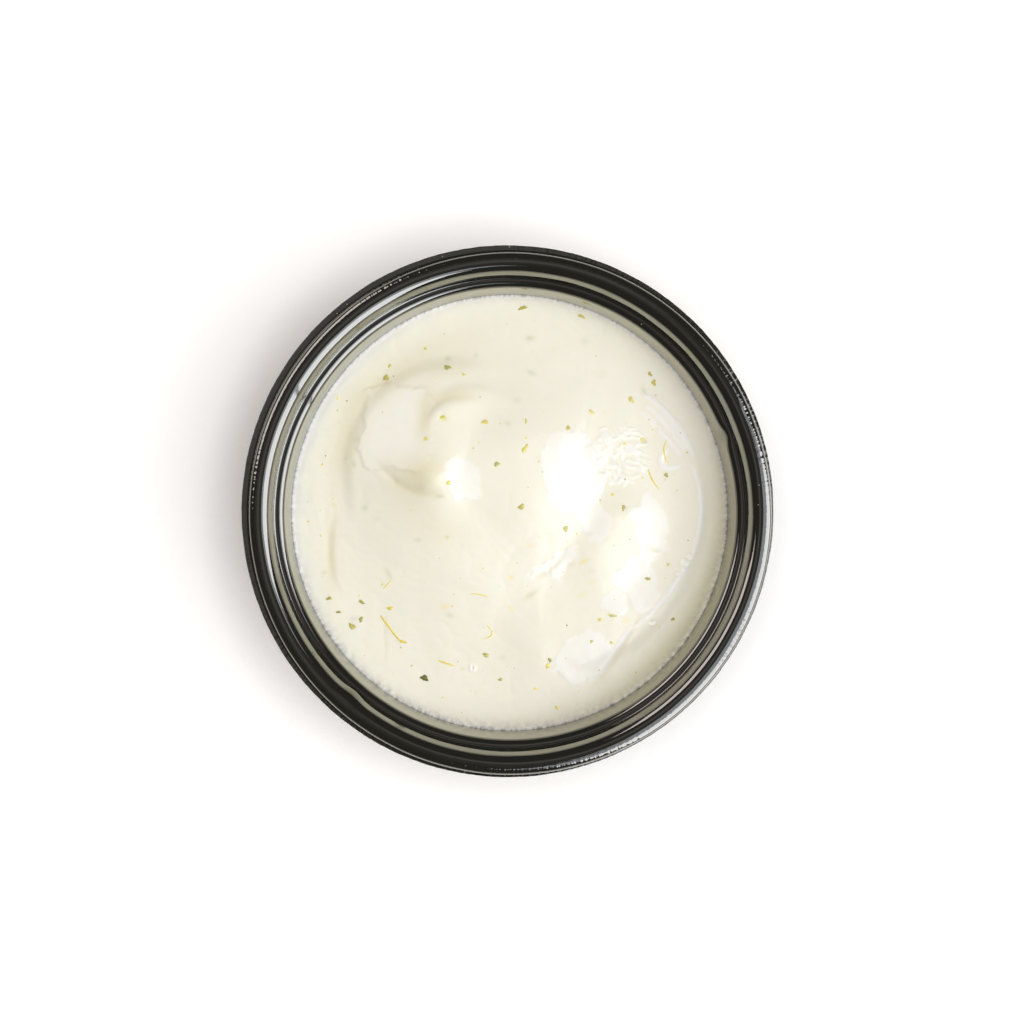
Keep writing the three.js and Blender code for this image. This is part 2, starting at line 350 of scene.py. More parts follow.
@dataclass(frozen=True)
class YogurtDip:
    """Stirred yogurt dip: an even warm white under a thin wet film that mirrors the windows softly."""

    colour: str = "#f2f0e2"
    warm: Rgba = (1.0, 1.0, 0.965, 1.0)
    cool: Rgba = (0.985, 0.98, 0.99, 1.0)
    cloud: float = 9.0  # size of the warm and cool clouds
    roughness: float = 0.36  # the broad sheen of the thick cream
    sheen: float = 0.3
    film: float = 0.12  # how much the wet film mirrors where the skin is dull
    wet_film: float = 0.36  # and where it is wet
    film_edge: float = 0.08  # how fast it turns wet, in millimetres
    torn: float = 0.5  # how far the wet patches' edges stray
    tear: float = 0.8  # and the size of the tears
    wet_painted_reflection: Rgba = (1.03, 1.045, 1.12, 1.0)  # painted reflection: where wet, the cream is painted paler and bluer, like the pale room that the film mirrors
    film_roughness: float = 0.02
    film_roughness_spread: float = 0.03
    ior: float = 1.35
    depth_of_light: float = 0.9  # how far light runs below the surface
    light_share: float = 0.25
    grain: float = 0.5  # the fine curd of the film
    tint: str = "tint"
    wetness: str = "wetness"

    def material(self) -> bpy.types.Material:
        """Builds the node material."""
        material, tree, place = new_material("stirred_yogurt_dip")
        tint = add(tree, "ShaderNodeAttribute", attribute_name=self.tint).outputs["Color"]
        curd = mottling(tree, place, self.grain, 2.0)
        warmth = blended(tree, mottling(tree, place, self.cloud, 3.0), self.warm, self.cool)
        base = blended(tree, 1.0, linear(self.colour), warmth, blend_type="MULTIPLY")
        colour = blended(tree, 1.0, base, tint, blend_type="MULTIPLY")
        bump = bumped(tree, curd, 0.04, 0.05)

        # The wet film ends along a torn line: where the depth inside its patch and a fine noise pass zero.
        depth = add(tree, "ShaderNodeAttribute", attribute_name=self.wetness).outputs["Fac"]
        stray = ranged(tree, mottling(tree, place, self.tear, 3.0), (0, 1), (-self.torn, self.torn))
        wet = ranged(tree, computed(tree, "ADD", depth, stray), (-self.film_edge, self.film_edge), (0, 1))
        rough = self.film_roughness
        put_surface(
            tree,
            {
                # painted reflection: the wet film's colour is painted paler and bluer
                "Base Color": blended(tree, wet, colour, self.wet_painted_reflection, blend_type="MULTIPLY"),
                "Roughness": self.roughness,
                "IOR": self.ior,
                "Specular IOR Level": self.sheen,
                "Coat Weight": ranged(tree, wet, (0, 1), (self.film, self.wet_film)),
                "Coat Roughness": ranged(tree, curd, (0, 1), (rough, rough + self.film_roughness_spread)),
                "Coat IOR": self.ior,
                "Subsurface Weight": self.light_share,
                "Subsurface Radius": (1.0, 0.9, 0.6),
                "Subsurface Scale": self.depth_of_light * MM,
                "Normal": bump,
                "Coat Normal": bump,
            },
        )
        return material


@dataclass(frozen=True)
class WetLeaf:
    """Dried and soaked herb or zest: a dull yellowish colour that varies between flakes, slightly wet."""

    name: str
    dark: str
    light: str
    roughness: float = 0.38
    ior: float = 1.4
    vein: float = 0.35
    mottle: float = 0.25  # how far the fine mottling shifts a flake's shade
    tint: str = "tint"

    def material(self) -> bpy.types.Material:
        """Builds the node material: from dark to light by the flake's own shade and a fine mottling."""
        material, tree, place = new_material(self.name)
        shade = add(tree, "ShaderNodeAttribute", attribute_name=self.tint).outputs["Fac"]
        veins = mottling(tree, place, self.vein, 2.0)
        shift = ranged(tree, veins, (0, 1), (-self.mottle, self.mottle))
        share = computed(tree, "ADD", shade, shift, use_clamp=True)
        put_surface(
            tree,
            {
                "Base Color": blended(tree, share, linear(self.dark), linear(self.light)),
                "Roughness": self.roughness,
                "IOR": self.ior,
                "Normal": bumped(tree, veins, 0.2, 0.05),
            },
        )
        return material


@dataclass(frozen=True)
class PaintedGlowWhiteBoard:
    """A matt white board that glows, a painted light: pure white, but for the shade close round the bowl,
    where the painted glow fades out.
    """

    colour: str = "#fbfaf9"
    roughness: float = 0.8
    shade_radius: float = 47.0  # where the painted glow starts, so that the shade round the bowl is painted
    white_radius: float = 60.0  # where it is full
    glow: float = 0.3
    grain: float = 3.0

    def material(self) -> bpy.types.Material:
        """Builds the node material."""
        material, tree, place = new_material("painted_glow_white_board")
        radius = add(tree, "ShaderNodeVectorMath", {0: place}, operation="LENGTH").outputs["Value"]
        put_surface(
            tree,
            {
                "Base Color": linear(self.colour),
                "Roughness": self.roughness,
                "Specular IOR Level": 0.1,
                # painted light: the board glows more away from the bowl, leaving a painted shadow round it
                "Emission Color": (1.0, 1.0, 1.0, 1.0),
                "Emission Strength": ranged(
                    tree, radius, (self.shade_radius * MM, self.white_radius * MM), (0, self.glow)
                ),
                "Normal": bumped(tree, mottling(tree, place, self.grain, 4.0), 0.25, 0.6),
            },
        )
        return material


# ---- The bowl ----


@dataclass(frozen=True)
class Dent:
    """A dent in the rim: where it is, its half widths round the rim in degrees and across it, and its depth.

    The depth is how far the middle is pushed towards the axis, or away from it where it is negative.
    """

    azimuth: float
    half_width: float
    radius: float
    reach: float
    depth: float


@dataclass(frozen=True)
class Bowl:
    """The black bowl: one thin shell of revolution, with its lip trimmed off centre and four dents."""

    height: float = 42.0
    wall: float = 0.5
    sides: int = 560
    panel_radius: float = 26.0
    panel_rise: float = 1.5
    panel_slope: float = 2.0
    base_radius: float = 36.4
    base_round: float = 3.2
    ledge_drop: float = 5.0
    wall_top: float = 40.63
    ledge_inner: float = 41.75
    ledge_outer: float = 42.4
    ledge_bend: float = 1.15
    ledge_corner: float = 0.45
    bead_inner: float = 43.0
    bead_crest: float = 44.7
    bead_outer: float = 46.5
    bead_rise: float = 1.0
    bead_flatness: float = 0.57
    flank_tilt: float = 15.0  # lean of the bead's inner flank, in degrees from upright
    flank_drop: float = 2.1
    bead_shelf: float = 0.72  # how far the crest runs out towards the bead's outer corner
    outer_rise: float = 1.15
    lip_radius: float = 47.45
    lip_drop: float = 2.5
    lip_root: float = 46.65
    lip_fall: float = 0.04
    lip_edge: float = 0.05  # width of the sharp edge, so that the smooth shading stays flat up to it
    lip_shift: float = 0.6
    lip_shift_azimuth: float = 140.0
    trim_mark: float = 0.05  # depth of the marks that the trimming left along the edge
    waviness: float = 0.03  # how far a moulded round shape strays from a true circle
    dents: tuple[Dent, ...] = (
        Dent(20, 2.3, 40.7, 0.9, -0.5),
        Dent(229, 3.0, 42.6, 0.7, 0.4),
        Dent(229.5, 2.2, 44.0, 0.7, 0.15),
        Dent(23, 2.0, 45.6, 0.5, 0.12),
    )

    def wall_radius(self, height: np.ndarray) -> np.ndarray:
        """Radius of the tapered inner wall at a height."""
        taper = (self.wall_top - self.base_radius) / (self.height - self.ledge_drop - self.wall)
        return self.base_radius + taper * (height - self.wall)

    def face(self, skin: float) -> np.ndarray:
        """One face as a half outline, from the axis to the edge of the lip.

        Each bend is a Bezier curve whose control points are on the corner that it rounds.

        Args:
            skin: how far the face lies outside the inner one.

        Returns:
            Rows of radius and height.
        """
        floor = self.wall - skin
        ledge = self.height - self.ledge_drop - skin
        crest = self.height - skin
        foot = self.height - self.bead_rise
        outer_foot = self.height - self.outer_rise
        lip = self.height - self.lip_drop - skin
        inner = self.bead_inner + skin
        outer = self.bead_outer - skin
        step = self.ledge_outer + skin
        lean = math.tan(math.radians(self.flank_tilt))
        half = self.bead_rise / 2
        top = self.bead_crest
        outer_end = (outer, outer_foot)

        def handle(start: float, end: float, share: float = self.bead_flatness) -> float:
            """A point on the way from start to end, as far along as the bead's curves reach."""
            return start + (end - start) * share

        def on_wall(height: float) -> tuple[float, float]:
            """A point of the tapered wall."""
            return float(self.wall_radius(height)) + skin, height

        # Each curve starts where the one before it ends: its other control points, and its number of steps.
        outline = np.array([[0, floor + self.panel_rise]])
        for controls, steps in (
            ([(self.panel_radius, floor + self.panel_rise)], 3),
            ([(self.panel_radius + self.panel_slope, floor)], 3),
            ([(self.base_radius - self.base_round, floor)], 2),
            ([(self.base_radius + skin, floor), on_wall(self.base_round)], 7),
            ([on_wall(ledge - self.ledge_bend)], 10),
            ([(self.wall_top + skin, ledge), (self.ledge_inner + skin, ledge)], 7),
            ([(self.ledge_outer - self.ledge_corner + skin, ledge)], 4),
            ([(step, ledge), (step, ledge + self.ledge_corner)], 5),
            ([(inner - self.flank_drop * lean, foot - self.flank_drop)], 3),
            ([(inner, foot)], 5),
            ([(inner + half * lean, foot + half), (handle(top, inner), crest), (top, crest)], 13),
            (
                [(handle(top, outer, self.bead_shelf), crest), (outer, handle(outer_foot, crest)), outer_end],
                13,
            ),
            ([(outer, lip), (self.lip_root, lip)], 7),
            ([(self.lip_radius - self.lip_edge, lip - self.lip_fall)], 3),
            ([(self.lip_radius, lip - self.lip_fall)], 1),
        ):
            outline = np.vstack([outline, bezier([tuple(outline[-1]), *controls], steps)])
        return outline

    def build(self, finish: GlossyBlackPolypropylene) -> bpy.types.Object:
        """Turns the closed outline round the axis, then shifts the lip, presses the dents and adds waviness.

        A point at radius r and azimuth a is (r cos a, r sin a, z).

        Args:
            finish: the plastic.

        Returns:
            The finished piece.
        """
        outline = np.vstack([self.face(self.wall), self.face(0)[::-1]])
        rings = outline[1:-1]
        azimuth = np.linspace(0, TURN, self.sides, endpoint=False)[:, None]
        radius = np.broadcast_to(rings[:, 0], (self.sides, len(rings)))
        height = np.broadcast_to(rings[:, 1], radius.shape)
        radius = radius - self.dent_depth(radius, height, azimuth) + self.stray(radius, height, azimuth)
        shift = np.clip((rings[:, 0] - self.bead_outer) / (self.lip_radius - self.bead_outer), 0, 1)
        shift = shift * self.lip_shift
        turn = math.radians(self.lip_shift_azimuth)
        x = radius * np.cos(azimuth) + shift * math.cos(turn)
        y = radius * np.sin(azimuth) + shift * math.sin(turn)
        grid = np.stack([x, y, height], -1).reshape(-1, 3)
        poles = np.array([[0, 0, outline[0, 1]], [0, 0, outline[-1, 1]]])
        points = np.vstack([grid, poles])

        number = np.arange(len(grid)).reshape(self.sides, len(rings))
        piece = put_mesh("bowl_shell", points, closed_faces(number, len(grid), len(grid) + 1))
        settle(piece, finish.material(), "black_plastic", "bowl")
        return piece

    def dent_depth(self, radius: np.ndarray, height: np.ndarray, azimuth: np.ndarray) -> np.ndarray:
        """How far the dents push each point towards the axis: a bell over azimuth times one over radius."""
        above = height > self.height - self.ledge_drop - 2 * self.ledge_bend
        push = 0
        for dent in self.dents:
            away = (degrees_between(azimuth, dent.azimuth) / dent.half_width) ** 2
            push = push + dent.depth * np.exp(-away - ((radius - dent.radius) / dent.reach) ** 2)
        return push * above

    def stray(self, radius: np.ndarray, height: np.ndarray, azimuth: np.ndarray) -> np.ndarray:
        """Waviness of the rim, and fine trimming marks on the edge of the lip."""
        rim = smooth((radius - self.wall_top) / 1.5)
        slow = noise(azimuth * 180 / TURN, height * 2.2, 4.0, 11) * self.waviness * rim
        edge = smooth((radius - self.lip_radius + 0.35) / 0.3)
        return slow + noise(azimuth * self.lip_radius, height, 0.8, 12) * self.trim_mark * edge


# ---- The dip ----


@dataclass(frozen=True)
class Fold:
    """A fold that the spoon left: a crest along an arc, with a side that falls outside and one inside.

    x and y are the arc's middle and crest its radius; facing is the azimuth of the fold's middle, span its
    half length and fade the run of each end, in degrees.
    """

    x: float
    y: float
    crest: float
    outside: float
    inside: float
    rise: float
    facing: float
    span: float
    fade: float

    def height(self, x: np.ndarray, y: np.ndarray) -> np.ndarray:
        """Rise at each point: half a cosine wave down both sides, times a smooth step at both ends."""
        radius = np.hypot(x - self.x, y - self.y)
        azimuth = np.arctan2(y - self.y, x - self.x)
        end = smooth((degrees_between(azimuth, self.facing) - self.span) / self.fade)
        side = np.where(radius > self.crest, self.outside, self.inside)
        return self.rise * (1 - end) * falling(np.abs(radius - self.crest) / side)


@dataclass(frozen=True)
class Stroke:
    """A ridge, or with a negative rise a crease, along a bent line that its control points give."""

    line: tuple[tuple[float, float], ...]
    half_width: float
    rise: float
    spacing: float = 0.15  # between the points that stand for the line

    def height(self, x: np.ndarray, y: np.ndarray) -> np.ndarray:
        """Rise at each point: a bell over its distance to the Bezier line, fading at both ends."""
        corners = np.array(self.line)
        steps = int(np.hypot(*np.diff(corners, axis=0).T).sum() / self.spacing)
        path = bezier(list(self.line), steps)
        height = np.zeros(np.shape(x))
        reach = 3 * self.half_width
        close = (x > path[:, 0].min() - reach) & (x < path[:, 0].max() + reach)
        close &= (y > path[:, 1].min() - reach) & (y < path[:, 1].max() + reach)
        gaps = np.hypot(x[close][:, None] - path[:, 0], y[close][:, None] - path[:, 1])
        if gaps.size:
            end = np.sin(math.pi * (0.03 + 0.94 * gaps.argmin(1) / steps)) ** 0.5
            height[close] = self.rise * end * np.exp(-((gaps.min(1) / self.half_width) ** 2))
        return height


@dataclass(frozen=True)
class Skin:
    """A patch with a torn edge: an ellipse, its heading in degrees, how high it stands, whether it is wet.

    A wrinkled patch is wet on the crests of its wrinkles only.
    """

    x: float
    y: float
    half_length: float
    half_width: float
    heading: float
    rise: float = 0.07
    wet: bool = True
    wrinkled: bool = False
    corners: float = 2.0  # 2 for an ellipse, more for a rounder rectangle

    def inside(self, x: np.ndarray, y: np.ndarray) -> np.ndarray:
        """How far inside the ragged edge each point lies, in millimetres: negative outside it.

        The distance to the ellipse is about (1 - s) b, where s is the point's share of the way from the
        middle to the ellipse and b the smaller half axis. Three sizes of noise make it ragged.
        """
        along, across = turned(x - self.x, y - self.y, self.heading)
        sides = np.abs([along / self.half_length, across / self.half_width])
        share = (sides**self.corners).sum(0) ** (1 / self.corners)
        depth = (1 - share) * min(self.half_length, self.half_width)
        ragged = 1.1 * noise(x, y, 3.4, 51) + 0.55 * noise(x, y, 1.5, 52) + 0.3 * noise(x, y, 0.7, 53)
        depth = depth + ragged
        if self.wrinkled:
            depth = np.minimum(depth, 3.2 * (0.2 - np.abs(noise(x + y / 2, y, 1.4, 54))))
        return depth


class SunkAndPaintedLight(Enum):
    """What shows through the top of the dip, and painted light on it: a colour that multiplies the cream,
    over a sunken flake or as painted shade, shadow or highlight.
    """

    HERB = (0.80, 0.84, 0.72)
    # painted shade in grey spots
    SHADE = (0.90, 0.88, 0.86)
    ZEST = (1.0, 0.93, 0.62)
    GREEN = (0.86, 0.87, 0.50)
    # painted shade in creases and on slopes that face away from the key light
    YELLOW_PAINTED_SHADE = (0.88, 0.84, 0.71)
    # a pale spot, and painted highlight and reflection on dull skins and ridges
    PALE_AND_PAINTED_HIGHLIGHT = (1.02, 1.03, 1.06)
    # painted shadow of the rim on the dip next to the wall
    RIM_PAINTED_SHADOW = (0.965, 0.955, 0.8)
    MILK = (0.945, 0.96, 1.0)
    # the black plastic through the thin edge, standing partly for painted shade in the corner at the wall
    BLACK = (0.0, 0.03, 0.1)


# Sunken flakes, pale spots and painted shade, by kind: x, y, length, width, heading, strength.
SMUDGES = {
    SunkAndPaintedLight.HERB: (
        (3.6, 31.9, 1.6, 1.0, 0, 1.0), (-11.4, 28.1, 1.2, 0.9, 0, 1.0),
        (-6.2, 28.7, 0.9, 0.9, 0, 0.6), (3.8, 25.6, 1.8, 0.8, -20, 0.7),
        (24.4, 22.3, 1.6, 0.8, -60, 0.9), (-0.4, 16.2, 1.2, 0.8, -20, 0.7),
        (-27.7, 13.5, 0.9, 0.8, 0, 0.6), (-29.9, 10.0, 0.7, 0.7, 0, 0.6),
        (-28.4, 8.9, 1.1, 0.7, -60, 0.8), (-12.7, 3.1, 1.6, 0.7, 0, 0.9),
        (-26.4, 1.0, 1.4, 1.0, 60, 0.7), (-24.4, -1.0, 1.6, 1.0, 0, 0.3),
        (-20.5, 5.7, 1.5, 0.7, -70, 0.5), (-16.7, -4.8, 1.1, 0.7, 0, 0.8),
        (-22.1, -11.0, 2.2, 0.7, -60, 0.8), (-33.9, -10.8, 1.0, 0.7, 30, 0.7),
        (3.8, -14.8, 3.0, 1.0, 35, 0.8), (-10.9, -18.6, 1.3, 0.8, -30, 0.7),
        (13.6, 31.4, 1.8, 1.6, 0, 0.4), (16.3, 25.4, 2.0, 1.6, 0, 0.25),
        (1.2, 20.5, 1.3, 0.9, 0, 0.5), (24.6, 13.1, 1.6, 1.0, -60, 0.8),
        (7.0, -3.5, 1.2, 0.8, 0, 0.3), (14.6, -3.7, 1.4, 0.9, 0, 0.4),
        (11.1, -9.2, 1.2, 0.8, 0, 0.4), (14.9, -10.5, 1.2, 0.8, 0, 0.3),
    ),
    SunkAndPaintedLight.SHADE: (
        (-16.0, 4.7, 1.8, 1.4, 0, 0.8), (-1.4, -26.3, 1.2, 1.0, 0, 0.6),
        (-28.5, -19.2, 1.4, 1.0, 0, 1.0), (-22.6, 24.0, 1.4, 1.2, 0, 1.2),
    ),
    SunkAndPaintedLight.GREEN: (
        (-11.4, -4.3, 0.8, 0.7, 0, 0.8), (-8.7, -28.4, 0.9, 0.6, 20, 0.6),
        (-12.1, 17.3, 1.7, 0.9, -20, 0.9),
    ),
    SunkAndPaintedLight.ZEST: (
        (13.5, -8.7, 1.9, 0.8, 20, 1.0), (0.1, -11.6, 1.2, 0.7, 0, 0.9),
        (3.8, -5.9, 1.8, 0.7, 0, 0.5), (13.0, -14.8, 1.5, 0.8, 20, 0.6),
        (15.0, -12.5, 1.5, 0.7, 30, 0.4), (-12.0, -17.0, 1.6, 1.2, 0, 0.6),
        (21.0, -19.5, 1.2, 0.8, 0, 0.8), (0.2, -17.3, 1.4, 0.6, -60, 0.8),
        (8.1, 29.9, 0.7, 0.6, 0, 0.5), (-32.0, 1.5, 1.0, 0.7, -50, 0.6),
    ),
    # painted shade: the darker crescents on slopes of the heap and folds that face away from the key light
    SunkAndPaintedLight.YELLOW_PAINTED_SHADE: (
        (-29.6, 13.6, 17.0, 5.0, 76, 0.75), (-22.6, 23.4, 14.0, 4.6, 32, 0.7),
        (-11.0, 26.4, 14.0, 3.4, 4, 0.45), (-13.5, 29.8, 20.0, 6.0, 14, 0.35),
        (-15.6, 17.6, 9.0, 2.6, 82, 0.8), (-10.6, 21.4, 9.0, 2.6, 12, 0.55),
        (-16.2, 7.0, 9.0, 7.6, 10, 0.95), (-32.6, -7.6, 15.0, 2.4, 88, 0.5),
        (-14.0, -2.0, 16.0, 8.0, -20, 0.3),
    ),
    SunkAndPaintedLight.PALE_AND_PAINTED_HIGHLIGHT: (
        (-7.0, -28.3, 1.5, 1.3, 0, 1.0),
    ),
}


@dataclass(frozen=True)
class Dip:
    """The dip: a leaning heap with the spoon's folds, filled up to the wall."""

    bowl: Bowl
    fill: float = 27.8
    grid: int = 296
    reach: float = 0.15  # how far it goes into the wall, so that no gap shows
    skirt_rings: int = 5
    peak: tuple[float, float] = (-12.4, 6.6)
    base: tuple[float, float] = (1.5, 1.5)
    heap_radius: float = 35.5
    heap_rise: float = 4.8
    knob: tuple[float, float] = (-13.4, 6.4)
    knob_half: tuple[float, float] = (5.0, 5.4)
    knob_rise: float = 1.5
    lean: float = 0.02
    lean_azimuth: float = -43.0
    meniscus_rise: float = 0.8
    meniscus_width: float = 0.9
    contact_width: float = 0.45  # how far the wet film reaches in from the wall
    thin_edge: float = 0.35  # how far in the black wall shows through, twice as far on the near side
    thin_and_shade_strength: float = 0.35  # how much of it shows, with painted shade in the corner at the wall
    thin_and_shade_strength_near: float = 0.3  # and how much more on the near side, where the painted shade is deeper
    # painted shadow: dark dots along the gap between the dip and the wall
    gap_shadow_dark: float = 0.45
    far_azimuth: float = 100.0
    rim_shadow_azimuth: float = -32.0  # painted shadow of the rim: the side where the dip is yellower towards the wall
    milky_azimuth: float = 158.0  # and the side where it is milky
    # painted shade over the milky edge next to the wall
    milky_painted_shade: float = 0.22
    wet_ridge: float = 0.15  # ridges higher than this are wet
    strokes: tuple[Stroke, ...] = (
        Stroke(((24.4, 21.6), (28.6, 19.6), (30.0, 15.6), (32.4, 12.0)), 0.4, 0.26),
        Stroke(((24.6, 19.6), (27.2, 18.6), (29.4, 14.6), (31.8, 11.6)), 0.38, 0.22),
        Stroke(((23.6, 18.6), (26.2, 17.0), (27.8, 14.0), (31.0, 10.8)), 0.38, 0.2),
        Stroke(((26.2, 20.2), (29.4, 18.4), (31.6, 15.6), (33.4, 10.6)), 0.38, 0.2),
        Stroke(((28.6, 11.4), (26.4, 10.0), (27.6, 7.4), (30.6, 8.6)), 0.4, 0.24),
        Stroke(((33.2, 8.6), (36.2, 2.6), (34.8, -3.4), (33.2, -8.0)), 0.42, 0.26),
        Stroke(((33.0, -8.0), (30.6, -12.4), (27.6, -17.0), (22.6, -20.8)), 0.42, 0.2),
        Stroke(((22.6, -20.6), (20.2, -22.2), (18.6, -27.4), (14.4, -30.4)), 0.4, 0.18),
        Stroke(((23.5, -17.8), (22.4, -22.4), (18.8, -28.8), (14.5, -32.0)), 0.45, -0.12),
        Stroke(((24.4, -5.2), (25.6, -7.4), (27.2, -6.0), (28.2, -7.6)), 0.3, -0.14),
        Stroke(((10.3, -5.7), (9.2, -8.6), (7.0, -10.6), (4.5, -11.5)), 0.6, -0.14),
        Stroke(((-32.0, -0.6), (-34.0, -7.6), (-31.4, -14.2)), 0.7, -0.16),
        Stroke(((-15.0, 13.0), (-16.4, 20.6), (-11.4, 21.6), (-5.6, 21.0)), 0.8, -0.2),
        Stroke(((-12.6, 4.0), (-16.6, 2.4), (-20.4, 5.0), (-24.2, 9.4)), 0.7, -0.16),
        Stroke(((-16.6, 15.6), (-17.8, 18.2), (-18.2, 20.2), (-16.4, 21.6)), 0.45, 0.07),
        Stroke(((-19.4, 12.2), (-20.6, 15.4), (-20.0, 19.0), (-18.8, 20.8)), 0.45, 0.05),
        Stroke(((-23.0, -27.0), (-22.2, -24.2), (-23.4, -21.4), (-22.6, -18.4)), 0.3, -0.08),
    )
    skins: tuple[Skin, ...] = (
        Skin(-8.9, 6.2, 4.4, 3.3, -50, 0.08),
        Skin(11.2, 8.2, 7.8, 5.8, 95),
        Skin(15.0, -0.8, 4.8, 2.8, -60),
        Skin(9.8, -8.2, 3.6, 1.2, 60),
        Skin(5.4, -10.2, 3.0, 0.8, 20),
        Skin(25.4, -2.6, 6.0, 3.2, 95),
        Skin(23.2, -13.0, 5.6, 3.4, 110),
        Skin(19.2, -16.4, 3.0, 2.4, 0),
        Skin(13.2, -26.2, 5.4, 4.2, 20),
        Skin(19.9, 10.9, 5.6, 5.6, 90, 0.15, True, True),
        Skin(-20.4, 15.6, 7.4, 6.6, 80, 0.18, False, False, 4.0),
    )
    bubbles: tuple[tuple[float, float, float], ...] = (
        (31.8, -9.0, 0.75),
        (32.7, -8.0, 0.5),
        (26.0, -19.8, 0.5),
        (30.6, -11.0, 0.35),
        (-6.9, -28.2, 0.4),
    )
    bubble_wall: float = 0.22
    bubble_rise: float = 0.25
    bubble_depth: float = 0.12
    skin_edge: float = 0.6  # how far inwards a skin takes to rise
    folds: tuple[Fold, ...] = (
        Fold(-12.4, 6.6, 17.5, 13.5, 15.0, 1.9, 5, 12, 45),
        Fold(13.0, -1.0, 6.5, 11.0, 6.0, 1.6, -30, 28, 60),
        Fold(4.0, 2.0, 30.0, 3.4, 9.0, 0.7, -25, 34, 24),
        Fold(2.0, 0.0, 24.0, 11.0, 11.0, 1.35, -64, 14, 26),
        Fold(-9.0, 7.0, 7.5, 16.0, 7.4, 0.9, 145, 25, 55),
        Fold(-9.0, 7.0, 19.3, 2.8, 13.0, 0.55, 140, 42, 30),
        Fold(-6.0, 14.0, 8.0, 2.8, 5.0, 0.4, 115, 40, 40),
    )

    def surface(self, x: np.ndarray, y: np.ndarray) -> np.ndarray:
        """Height of the surface: fill level, heap, knob, folds, lean and the climb at the wall.

        The heap's contours are circles whose middle moves from the peak to the base's middle: the share t is
        where the point lies on the circle round peak + t (base - peak) with radius t times the heap's.
        """
        lean_x, lean_y = self.base[0] - self.peak[0], self.base[1] - self.peak[1]
        along = (x - self.peak[0]) * lean_x + (y - self.peak[1]) * lean_y
        away = (x - self.peak[0]) ** 2 + (y - self.peak[1]) ** 2
        room = self.heap_radius**2 - lean_x**2 - lean_y**2
        share = (np.sqrt(along**2 + room * away) - along) / room
        height = self.fill + self.heap_rise * falling(share)
        bell = ((x - self.knob[0]) / self.knob_half[0]) ** 2 + ((y - self.knob[1]) / self.knob_half[1]) ** 2
        height = height + self.knob_rise * np.exp(-bell)
        for mark in (*self.folds, *self.strokes):
            height = height + mark.height(x, y)
        for skin in self.skins:
            height = height + skin.rise * smooth(0.5 + skin.inside(x, y) / self.skin_edge)
        for middle_x, middle_y, radius in self.bubbles:
            to_rim = np.hypot(x - middle_x, y - middle_y) - radius
            rim = self.bubble_rise * np.exp(-((to_rim / self.bubble_wall) ** 2))
            height = height + rim - self.bubble_depth * (to_rim < 0)
        turn = math.radians(self.lean_azimuth)
        height = height - self.lean * (x * math.cos(turn) + y * math.sin(turn))
        to_wall = np.maximum(self.bowl.wall_radius(self.fill) - np.hypot(x, y), 0)
        return height + self.meniscus_rise * np.exp(-to_wall / self.meniscus_width) + self.ripples(x, y)

    def ripples(self, x: np.ndarray, y: np.ndarray) -> np.ndarray:
        """Fine unevenness of the stirred surface.

        The size of two bent noises gives flat facets with creases between them. Streaks run round the peak.
        """
        bent_x = x + 1.2 * noise(x, y, 4.0, 25)
        bent_y = y + 1.2 * noise(x, y, 4.0, 26)
        broad = 0.16 * np.abs(noise(bent_x + 40, bent_y, 8.0, 21))
        middle = 0.07 * np.abs(noise(bent_x, bent_y + 15, 3.4, 22))
        around = np.arctan2(y - self.peak[1], x - self.peak[0])
        out = np.hypot(x - self.peak[0], y - self.peak[1])
        streaks = 0.02 * noise(out, around * 12, 1.1, 24) * smooth(out / 8 - 1)
        return broad + middle + streaks + 0.015 * np.abs(noise(x, y, 1.5, 23))

    def wetness(self, x: np.ndarray, y: np.ndarray) -> np.ndarray:
        """How far inside the wet film each point lies, in millimetres, the same in all three columns."""
        depth = np.max([skin.inside(x, y) for skin in self.skins if skin.wet], axis=0)
        ridges = [stroke for stroke in self.strokes if stroke.rise > self.wet_ridge]
        ridge = np.max([stroke.height(x, y) / stroke.rise for stroke in ridges], axis=0)
        depth = np.maximum(depth, 2 * ridge - 0.4)
        to_wall = self.bowl.wall_radius(self.fill) - np.hypot(x, y)
        depth = np.maximum(depth, self.contact_width - to_wall)
        return np.repeat(np.clip(depth, -2, 2)[:, None], 3, 1)

    def tints(self, x: np.ndarray, y: np.ndarray) -> np.ndarray:
        """Colour that multiplies the cream.

        Smudges are soft bells: sunken flakes, pale spots and painted shade. Dull skins are paler, a painted
        reflection, ridges paler, a painted highlight, and creases darker, a painted shade. Towards the wall
        the dip is thin over the black plastic, in patches, with painted shade in the corner at the wall and
        dots of painted shadow along the gap; on one side it is yellower in a painted shadow of the rim, and
        on another milky under a painted shade.

        Args:
            x, y: places of the vertices.

        Returns:
            One row of red, green, blue for each vertex.
        """
        tint = np.ones((len(x), 3))

        def stain(share: np.ndarray, kind: SunkAndPaintedLight) -> None:
            """Multiplies the tint by a kind's colour, as far as the share says."""
            tint[:] = tint * (1 - share[:, None] * (1 - np.array(kind.value)))

        for kind, places in SMUDGES.items():
            for middle_x, middle_y, length, width, heading, strength in places:
                along, across = turned(x - middle_x, y - middle_y, heading)
                bell = np.exp(-((2 * along / length) ** 2) - (2 * across / width) ** 2)
                stain(np.clip(strength * bell, 0, 1), kind)
        # painted reflection: dull skins are paler, like the window that they mirror
        for skin in self.skins:
            if not skin.wet:
                stain(smooth(skin.inside(x, y) / 0.5), SunkAndPaintedLight.PALE_AND_PAINTED_HIGHLIGHT)
        # painted highlight along the ridges, and painted shade along the creases
        for stroke in self.strokes:
            stain(stroke.height(x, y) / stroke.rise / 2, SunkAndPaintedLight.PALE_AND_PAINTED_HIGHLIGHT if stroke.rise > 0 else SunkAndPaintedLight.YELLOW_PAINTED_SHADE)

